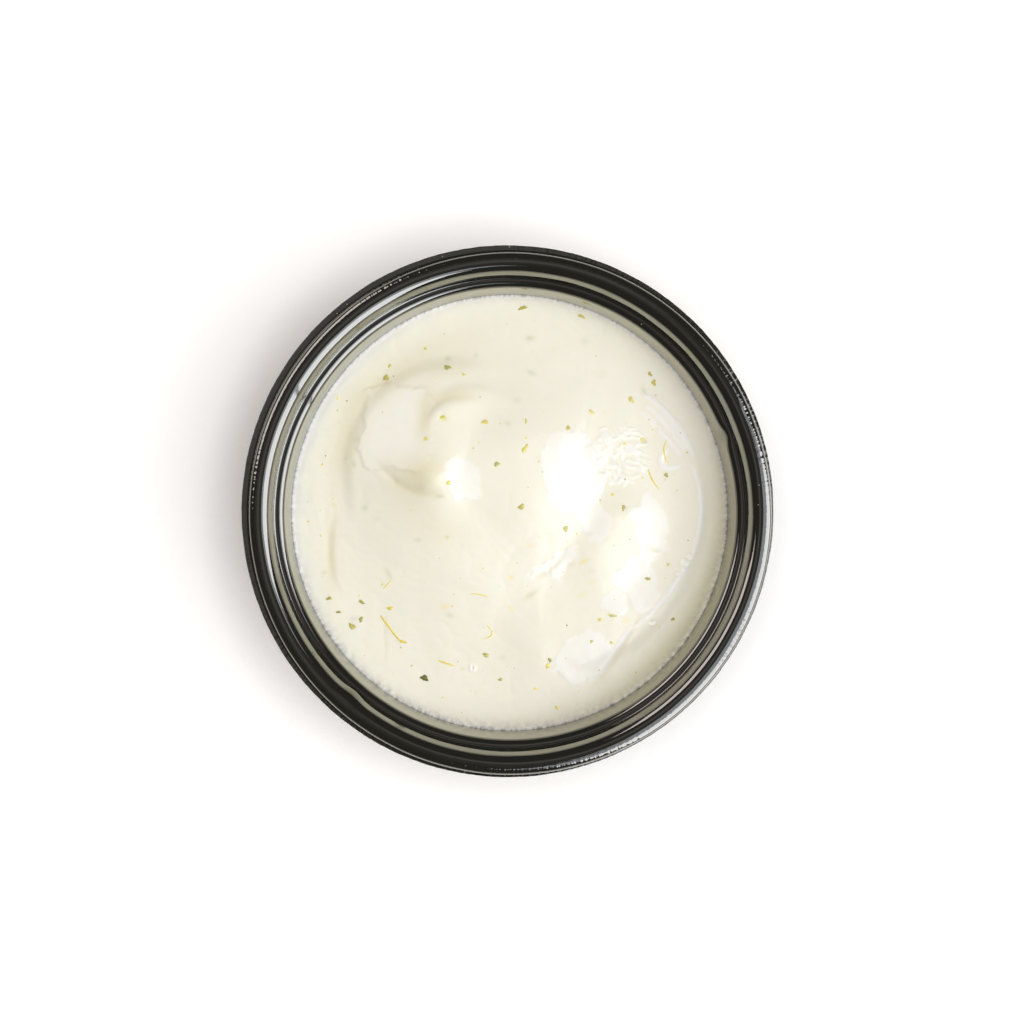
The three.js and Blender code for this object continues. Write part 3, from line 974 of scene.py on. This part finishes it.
        azimuth = np.arctan2(y, x)
        to_wall = np.maximum(self.bowl.wall_radius(self.fill) - np.hypot(x, y), 0)
        near = smooth(degrees_between(azimuth, self.far_azimuth) / 60 - 1)
        patchy = np.clip(0.5 + 0.5 * noise(x, y, 0.9, 31) + 0.4 * noise(x, y, 0.4, 32), 0, 1)
        # the black plastic through the thin edge, and painted shade in the corner at the wall
        thin_and_shade = np.exp(-to_wall / (self.thin_edge * (1 + near))) * patchy
        stain(thin_and_shade * (self.thin_and_shade_strength + self.thin_and_shade_strength_near * near), SunkAndPaintedLight.BLACK)
        # painted shadow of the rim: yellower and a little darker towards the wall on one side
        right = smooth(1 - degrees_between(azimuth, self.rim_shadow_azimuth) / 60)
        stain(right * smooth(1 - to_wall / 6), SunkAndPaintedLight.RIM_PAINTED_SHADOW)
        milky = smooth(1 - degrees_between(azimuth, self.milky_azimuth) / 85)
        milky = milky * smooth(1.4 - to_wall / (2.2 + 1.3 * noise(x, y, 4.0, 34)))
        stain(milky, SunkAndPaintedLight.MILK)
        # painted shadow in dots along the gap at the wall
        gap_shadow_dots = smooth(1 - to_wall / self.thin_edge) * np.clip(0.1 + 2 * noise(x, y, 0.4, 33), 0, 1)
        # painted shade over the milky edge
        shade = self.milky_painted_shade * milky * smooth(1.3 - to_wall / 1.5)
        return tint * ((1 - shade) * (1 - self.gap_shadow_dark * gap_shadow_dots))[:, None]

    def build(self, finish: YogurtDip) -> bpy.types.Object:
        """Builds the closed body: an even grid over the top, then rings down the wall and over the floor.

        The square grid is bent into a disc: each square ring of the grid becomes a circle, and its points
        spread evenly round it. The last ring of the top lies in the wall.

        Args:
            finish: the cream.

        Returns:
            The finished piece.
        """
        count = self.grid + 1
        a, b = np.meshgrid(np.linspace(-1, 1, count), np.linspace(-1, 1, count), indexing="ij")
        wide = np.abs(a) >= np.abs(b)
        radius = np.where(wide, a, b)
        safe = np.where(radius == 0, 1, radius)
        turn = np.where(wide, math.pi / 4 * b / safe, math.pi / 2 - math.pi / 4 * a / safe)
        edge = self.bowl.wall_radius(self.fill) + self.reach
        x, y = (radius * np.cos(turn) * edge).ravel(), (radius * np.sin(turn) * edge).ravel()
        z = self.surface(x, y)
        growth = (self.bowl.wall_radius(z) + self.reach - edge) / edge
        spread = 1 + growth * smooth(np.hypot(x, y) / edge * 8 - 7)
        top = np.stack([x * spread, y * spread, z], -1)

        number = np.arange(count * count).reshape(count, count)
        quads = np.stack([number[:-1, :-1], number[1:, :-1], number[1:, 1:], number[:-1, 1:]], -1)
        rim = np.concatenate([number[:-1, 0], number[-1, :-1], number[:0:-1, -1], number[0, :0:-1]])
        under = self.bowl.face(self.reach)
        under = under[under[:, 1] < self.fill - 4][::-1]
        keep = np.unique(np.linspace(0, len(under) - 2, self.skirt_rings).astype(int))
        azimuth = np.arctan2(top[rim, 1], top[rim, 0])
        unit = np.stack([np.cos(azimuth), np.sin(azimuth), np.ones(len(rim))], -1)
        rings = [unit * [radius, radius, height] for radius, height in under[keep]]
        points = np.vstack([top, *rings, [[0, 0, under[-1, 1]]]])
        first = len(top) + np.arange(len(keep))[:, None] * len(rim) + np.arange(len(rim))
        loops = np.vstack([rim, first])
        after = np.roll(loops, -1, 1)
        skirt = np.stack([loops[:-1], loops[1:], after[1:], after[:-1]], -1).reshape(-1, 4)
        middle = np.full(len(rim), len(points) - 1)
        base = np.stack([middle, after[-1], loops[-1]], -1)
        piece = put_mesh("dip_surface", points, [quads.reshape(-1, 4), skirt, base])
        below = np.ones((len(points) - len(top), 3))
        put_colours(piece, finish.tint, np.vstack([self.tints(x, y), below]))
        put_colours(piece, finish.wetness, np.vstack([self.wetness(x, y), -below]))
        settle(piece, finish.material(), "yogurt_dip", "dip")
        return piece


# ---- What floats in the dip ----


@dataclass(frozen=True)
class Flakes:
    """Small flat flakes of one kind, as one joined mesh.

    Each flake is a flattened closed blob: its outline is a circle pulled out of round by four waves, its
    edge is thin, and it bends along its length.
    """

    name: str
    slot: str
    places: tuple[tuple[float, ...], ...]  # x, y, length, width, heading, shade
    thickness: float = 0.22
    lift: float = 0.03
    seed: int = 5
    around: int = 20
    rows: int = 5

    def build(self, dip: Dip, finish: WetLeaf) -> bpy.types.Object:
        """Builds all flakes at once, each laid along the surface of the dip.

        Args:
            dip: what they lie on.
            finish: their material.

        Returns:
            The finished piece.
        """
        rng = np.random.default_rng(self.seed)
        x, y, length, width, heading, shade = np.array(self.places, float).T[:, :, None]
        count = len(self.places)
        u = np.linspace(0, TURN, self.around, endpoint=False)
        v = np.linspace(0, math.pi, self.rows + 2)[1:-1]
        u, v = (grid.ravel()[None, :] for grid in np.meshgrid(u, v, indexing="ij"))
        waves = [(2, 0.16), (3, 0.2), (5, 0.13), (7, 0.07)]
        phases = rng.uniform(0, TURN, (count, len(waves)))
        outline = 1 + sum(size * np.cos(n * u + phases[:, [k]]) for k, (n, size) in enumerate(waves))
        along = np.sin(v) ** 0.6 * outline * np.cos(u) / 2
        across = np.sin(v) ** 0.6 * outline * np.sin(u) / 2
        bend = rng.uniform(-0.35, 0.1, (count, 1))
        rise = np.cos(v) / 2 * self.thickness * (0.6 + 0.4 * outline) + bend * along**2 * length
        poles = np.zeros((count, 2))
        along, across = (np.hstack([part, poles]) for part in (along * length, across * width))
        rise = np.hstack([rise, np.array([[0.5, -0.5]]) * self.thickness * np.ones((count, 1))])

        turn = np.radians(heading)
        east = along * np.cos(turn) - across * np.sin(turn)
        north = along * np.sin(turn) + across * np.cos(turn)
        step = 0.4
        slope_x = (dip.surface(x + step, y) - dip.surface(x - step, y)) / (2 * step)
        slope_y = (dip.surface(x, y + step) - dip.surface(x, y - step)) / (2 * step)
        tilt_x, tilt_y = rng.uniform(-0.12, 0.12, (2, count, 1))
        z = dip.surface(x, y) + self.lift + rise + east * (slope_x + tilt_x) + north * (slope_y + tilt_y)
        points = np.stack([x + east, y + north, z], -1)

        number = np.arange(self.around * self.rows).reshape(self.around, self.rows)
        starts = (np.arange(count) * (number.size + 2))[:, None, None]
        one = closed_faces(number[::-1], number.size, number.size + 1)
        faces = [(starts + block).reshape(-1, block.shape[1]) for block in one]
        piece = put_mesh(self.name, points.reshape(-1, 3), faces)
        shades = np.broadcast_to(shade, (count, number.size + 2)).reshape(-1, 1)
        put_colours(piece, finish.tint, np.repeat(shades, 3, 1))
        settle(piece, finish.material(), self.slot)
        return piece


@dataclass(frozen=True)
class Shreds:
    """Thin shreds of zest, as one joined mesh: a flat oval section carried along a bent line."""

    places: tuple[tuple[float, ...], ...]  # first end x, y, middle x, y, last end x, y, width, shade
    thickness: float = 0.3
    steps: int = 20
    around: int = 8
    lift: float = 0.02
    seed: int = 8

    def build(self, dip: Dip, finish: WetLeaf) -> bpy.types.Object:
        """Builds all shreds: a Bezier line laid on the dip, with a section that narrows to both ends.

        Args:
            dip: what they lie on.
            finish: their material.

        Returns:
            The finished piece.
        """
        rng = np.random.default_rng(self.seed)
        points, faces, shades = [], [], []
        number = np.arange((self.steps + 1) * self.around).reshape(self.steps + 1, self.around)
        for x0, y0, x1, y1, x2, y2, width, shade in self.places:
            line = np.vstack([[[x0, y0]], bezier([(x0, y0), (x1, y1), (x2, y2)], self.steps)])
            ahead = np.gradient(line, axis=0)
            ahead = ahead / np.linalg.norm(ahead, axis=1, keepdims=True)
            side = np.stack([-ahead[:, 1], ahead[:, 0]], -1)
            share = np.linspace(0, 1, self.steps + 1)[:, None]
            taper = (np.sin(math.pi * (0.04 + 0.92 * share))) ** 0.4
            taper = taper * (1 + 0.2 * rng.uniform(-1, 1, (self.steps + 1, 1)))
            turn = np.linspace(0, TURN, self.around, endpoint=False)
            across = np.cos(turn) * taper * width / 2
            up = np.sin(turn) * taper * self.thickness / 2
            x = line[:, :1] + across * side[:, :1]
            y = line[:, 1:] + across * side[:, 1:]
            z = dip.surface(line[:, :1], line[:, 1:]) + self.lift + up
            ends = np.array([[*line[0], z[0].mean()], [*line[-1], z[-1].mean()]])
            start = sum(len(block) for block in points)
            points.append(np.vstack([np.stack([x, y, z], -1).reshape(-1, 3), ends]))
            faces += closed_faces(start + number.T, start + number.size, start + number.size + 1)
            shades.append(np.full((number.size + 2, 3), shade))
        piece = put_mesh("zest_shreds", np.vstack(points), faces)
        put_colours(piece, finish.tint, np.vstack(shades))
        settle(piece, finish.material(), "yellow_zest")
        return piece


HERBS = (
    (18.8, -18.6, 1.9, 0.45, -8, 0.75),
    (2.2, 37.4, 1.7, 0.7, 20, 0.55),
    (2.7, 11.7, 1.6, 0.8, 60, 0.9),
    (-27.0, -16.2, 1.5, 0.45, -30, 0.45),
    (-15.6, -30.0, 1.6, 1.0, 0, 0.0),
    (-4.5, 16.5, 1.5, 0.7, -10, 0.95),
    (22.1, 20.7, 1.5, 0.7, -60, 0.85),
    (13.0, 35.9, 1.4, 0.6, -30, 0.85),
    (-22.6, 24.7, 1.2, 0.9, 20, 0.6),
    (14.8, 18.4, 1.2, 0.6, -60, 0.95),
    (2.0, 1.2, 1.4, 0.8, 40, 0.7),
    (-28.8, -20.6, 1.3, 1.0, -50, 0.6),
    (-11.4, 26.5, 1.2, 0.9, 0, 0.5),
    (26.2, 23.8, 1.3, 0.7, -65, 0.7),
    (10.1, -2.8, 1.2, 0.7, 70, 0.65),
    (20.6, 1.0, 1.1, 0.6, 70, 0.6),
    (-4.4, -25.8, 1.1, 0.9, -10, 0.6),
    (7.2, -26.7, 0.8, 0.6, -70, 0.4),
    (25.1, -11.9, 1.2, 0.5, 0, 0.5),
    (10.5, 15.5, 0.9, 0.8, 80, 0.7),
    (-2.4, 8.9, 1.0, 0.8, -20, 0.55),
    (-15.2, 13.5, 0.9, 0.7, 80, 0.95),
    (-33.0, -15.5, 0.9, 0.7, 20, 0.5),
    (-31.3, -18.0, 0.9, 0.5, 0, 0.35),
    (-27.2, -19.3, 1.0, 0.7, 60, 0.4),
    (25.5, 25.4, 0.9, 0.6, -60, 0.55),
    (28.4, 7.0, 0.8, 0.8, 0, 0.55),
    (-21.9, 26.9, 0.7, 0.6, 30, 0.75),
    (2.9, 16.7, 0.8, 0.5, -90, 0.95),
    (-1.8, -30.3, 0.7, 0.6, 0, 0.55),
    (29.7, -19.3, 0.7, 0.6, 0, 0.6),
    (16.3, -19.3, 0.9, 0.5, 0, 1.0),
    (14.8, -23.3, 0.6, 0.5, 0, 0.8),
    (18.4, -23.5, 0.6, 0.5, 0, 0.9),
    (28.8, -9.3, 0.6, 0.5, 0, 0.9),
    (8.5, -35.4, 0.9, 0.5, -30, 1.0),
    (-15.4, 30.0, 0.6, 0.5, 40, 1.0),
    (-8.4, 25.2, 0.7, 0.5, 0, 1.0),
    (-12.1, 17.3, 1.2, 0.6, -20, 1.0),
    (24.1, 13.5, 1.0, 0.7, -60, 1.0),
)
ORANGE = (
    (-11.1, 5.5, 0.8, 0.7, 0, 0.3),
    (-21.9, -17.3, 0.9, 0.8, 0, 0.5),
    (6.9, -27.8, 1.2, 0.7, 40, 0.8),
    (4.7, -32.0, 0.7, 0.5, 0, 0.9),
    (-31.3, 21.0, 0.6, 0.4, 60, 0.8),
    (-34.1, 8.9, 0.5, 0.4, 0, 0.8),
    (2.9, 13.6, 0.5, 0.4, 0, 0.9),
    (8.7, -35.6, 0.5, 0.4, 0, 0.9),
    (18.6, 3.4, 0.6, 0.5, 20, 0.6),
    (20.9, 12.7, 0.6, 0.5, 0, 0.7),
    (-23.2, -12.9, 0.5, 0.4, 90, 0.6),
)
SHREDS = (
    (-23.6, -18.6, -22.2, -20.6, -19.8, -23.6, 0.42, 0.55),
    (-20.4, -23.0, -19.6, -23.4, -18.8, -23.6, 0.45, 0.5),
    (-13.2, -26.8, -11.6, -27.4, -10.0, -27.8, 0.36, 0.75),
    (28.6, 13.3, 27.3, 11.4, 28.9, 9.1, 0.28, 1.0),
    (25.2, 8.0, 25.6, 6.2, 27.1, 4.4, 0.3, 0.9),
    (-4.2, -20.4, -1.8, -22.4, -5.0, -22.8, 0.26, 1.0),
    (-23.1, -13.9, -22.4, -13.0, -21.6, -12.2, 0.22, 0.9),
    (-7.2, -14.6, -5.4, -14.6, -3.8, -15.2, 0.2, 1.0),
)


@dataclass(frozen=True)
class Specks:
    """Tiny specks scattered over the dip by a seeded draw, spread evenly over its area."""

    name: str
    slot: str
    count: int
    smallest: float
    largest: float
    seed: int
    reach: float = 37.5  # radius of the disc that they are spread over

    def build(self, dip: Dip, finish: WetLeaf) -> bpy.types.Object:
        """Draws the places and sizes, and builds the specks as flakes."""
        rng = np.random.default_rng(self.seed)
        radius = self.reach * np.sqrt(rng.uniform(0, 1, self.count))
        azimuth = rng.uniform(0, TURN, self.count)
        length = self.smallest + (self.largest - self.smallest) * rng.uniform(0, 1, self.count) ** 2
        rows = np.stack(
            [
                radius * np.cos(azimuth),
                radius * np.sin(azimuth),
                length,
                length * rng.uniform(0.5, 1, self.count),
                rng.uniform(0, 180, self.count),
                rng.uniform(0.3, 1, self.count),
            ],
            -1,
        )
        flakes = Flakes(self.name, self.slot, tuple(map(tuple, rows)), 0.08, 0.01, self.seed, 8, 3)
        return flakes.build(dip, finish)


# ---- The studio ----


@dataclass(frozen=True)
class Lamp:
    """A soft rectangular light that faces the bowl: where its middle stands, its half sizes, what it gives.

    A mirrored lamp is a window's image in glossy surfaces, and the others only light things, so that each has
    its own strength. An upright bar may split a lamp in two.
    """

    name: str
    azimuth: float
    zenith: float
    half_width: float
    half_height: float
    radiance: float
    colour: str
    mirrored: bool = False
    distance: float = 1400.0
    bar: float = 0.0
    bar_azimuth: float = 0.0

    def panel(self, name: str, offset: float, half_width: float) -> None:
        """Adds one area light.

        Args:
            name: name of the light.
            offset: shift of its middle to the right, seen from the bowl.
            half_width: half its width.
        """
        light = bpy.data.lights.new(name, "AREA")
        light.shape = "RECTANGLE"
        light.size = 2 * half_width * MM
        light.size_y = 2 * self.half_height * MM
        light.energy = math.pi * self.radiance * light.size * light.size_y
        light.color = linear(self.colour)[:3]
        turn, tip = math.radians(self.azimuth), math.radians(self.zenith)
        outwards = Vector((math.sin(tip) * math.cos(turn), math.sin(tip) * math.sin(turn), math.cos(tip)))
        right = Vector((-math.sin(turn), math.cos(turn), 0.0))
        thing = bpy.data.objects.new(name, light)
        bpy.context.scene.collection.objects.link(thing)
        thing.rotation_euler = (-outwards).to_track_quat("-Z", "Y").to_euler()
        thing.location = (outwards * self.distance + right * offset) * MM
        thing.visible_camera = False
        thing.visible_glossy = self.mirrored
        thing.visible_diffuse = not self.mirrored
        thing.visible_transmission = not self.mirrored

    def build(self) -> None:
        """Adds the lamp, in two parts where a bar splits it."""
        if not self.bar:
            self.panel(self.name, 0, self.half_width)
            return
        turn = math.radians(self.bar_azimuth - self.azimuth)
        bar_at = self.distance * math.sin(math.radians(self.zenith)) * math.tan(turn)
        ends = [(-self.half_width, bar_at - self.bar / 2), (bar_at + self.bar / 2, self.half_width)]
        for part, (start, end) in enumerate(ends):
            self.panel(f"{self.name}_{part}", (start + end) / 2, (end - start) / 2)


@dataclass(frozen=True)
class Studio:
    """The floor, the room's light, the lamps and the camera straight above."""

    lip_height: float = 39.5
    camera_distance: float = 530.0
    camera_x: float = 0.34
    camera_y: float = 0.25
    view_width: float = 182.7  # what the frame covers at the height of the lip
    sensor: float = 36.0
    floor_half: float = 3000.0
    room: float = 0.34
    room_colour: Rgba = (1.03, 0.985, 0.95, 1.0)
    dark_room: float = 0.11  # what glossy surfaces see of the room's walls
    bright_side: tuple[float, float, float] = (-0.75, 0.66, 0.0)  # the way to the bright part of the ceiling
    lamps: tuple[Lamp, ...] = (
        Lamp("big_window", -28, 58, 996, 808, 9.4, "#f3f4ff", True, bar=22, bar_azimuth=-29.4),
        Lamp("glow", -28, 21, 620, 190, 2.8, "#eaf0ff", True, distance=1300),
        Lamp("small_window", 145, 51, 500, 375, 6.4, "#fcf0f4", True),
        Lamp("key", -18, 29, 620, 620, 3.3, "#ffffff", distance=1450),
        Lamp("fill", 150, 25, 500, 500, 1.45, "#fff6ee", distance=1500),
    )

    def build(self) -> None:
        """Sets up everything round the object."""
        corners = np.array([[-1, -1, 0], [1, -1, 0], [1, 1, 0], [-1, 1, 0]], float) * self.floor_half
        floor = put_mesh("floor", corners, [np.array([[0, 1, 2, 3]])])
        floor.data.materials.append(PaintedGlowWhiteBoard().material())
        for lamp in self.lamps:
            lamp.build()
        self.room_light()
        camera = bpy.data.cameras.new("camera")
        camera.sensor_width = self.sensor
        camera.lens = self.sensor * self.camera_distance / self.view_width
        camera.clip_start = 0.01
        thing = bpy.data.objects.new("camera", camera)
        thing.location = Vector((self.camera_x, self.camera_y, self.lip_height + self.camera_distance)) * MM
        bpy.context.scene.collection.objects.link(thing)
        bpy.context.scene.camera = thing
        bpy.context.scene.view_settings.view_transform = "Standard"

    def room_light(self) -> None:
        """An even pale room, which glossy surfaces see darker except overhead to the left and far side."""
        world = bpy.data.worlds.new("studio")
        bpy.context.scene.world = world
        world.use_nodes = True
        tree = world.node_tree
        tree.nodes.clear()
        towards = add(tree, "ShaderNodeTexCoord").outputs["Generated"]
        to_left = {0: towards, 1: self.bright_side}
        left = add(tree, "ShaderNodeVectorMath", to_left, operation="DOT_PRODUCT").outputs["Value"]
        up = add(tree, "ShaderNodeSeparateXYZ", {0: towards}).outputs[2]
        overhead = ranged(tree, left, (-0.03, 0.06), (0.2, 0.55), interpolation_type="SMOOTHSTEP")
        high = ranged(tree, up, (0.94, 0.995), (0.0, 1.0), interpolation_type="SMOOTHSTEP")
        image = blended(tree, high, self.dark_room, overhead, data_type="FLOAT")
        mirrored = add(tree, "ShaderNodeLightPath").outputs["Is Glossy Ray"]
        strength = blended(tree, mirrored, self.room, image, data_type="FLOAT")
        background = add(tree, "ShaderNodeBackground", {"Color": self.room_colour, "Strength": strength})
        add(tree, "ShaderNodeOutputWorld", {"Surface": background.outputs[0]})


def main() -> None:
    """Builds the bowl, the dip and what floats in it, then the studio."""
    logging.basicConfig(level=logging.INFO, format="%(name)s %(message)s")
    bowl = Bowl()
    bowl.build(GlossyBlackPolypropylene())
    dip = Dip(bowl)
    dip.build(YogurtDip())
    herb = WetLeaf("soaked_green_herb", "#565a00", "#e4d976")
    zest = WetLeaf("soaked_yellow_zest", "#dcbc1c", "#f8ea88")
    Flakes("herb_flakes", "green_herb", HERBS).build(dip, herb)
    Flakes("zest_flakes", "yellow_zest", ORANGE, seed=6).build(dip, zest)
    Shreds(SHREDS).build(dip, zest)
    Specks("herb_specks", "green_herb", 50, 0.15, 0.4, 41).build(dip, herb)
    Specks("zest_specks", "yellow_zest", 110, 0.15, 0.45, 42).build(dip, zest)
    Studio().build()


if __name__ == "__main__":
    main()
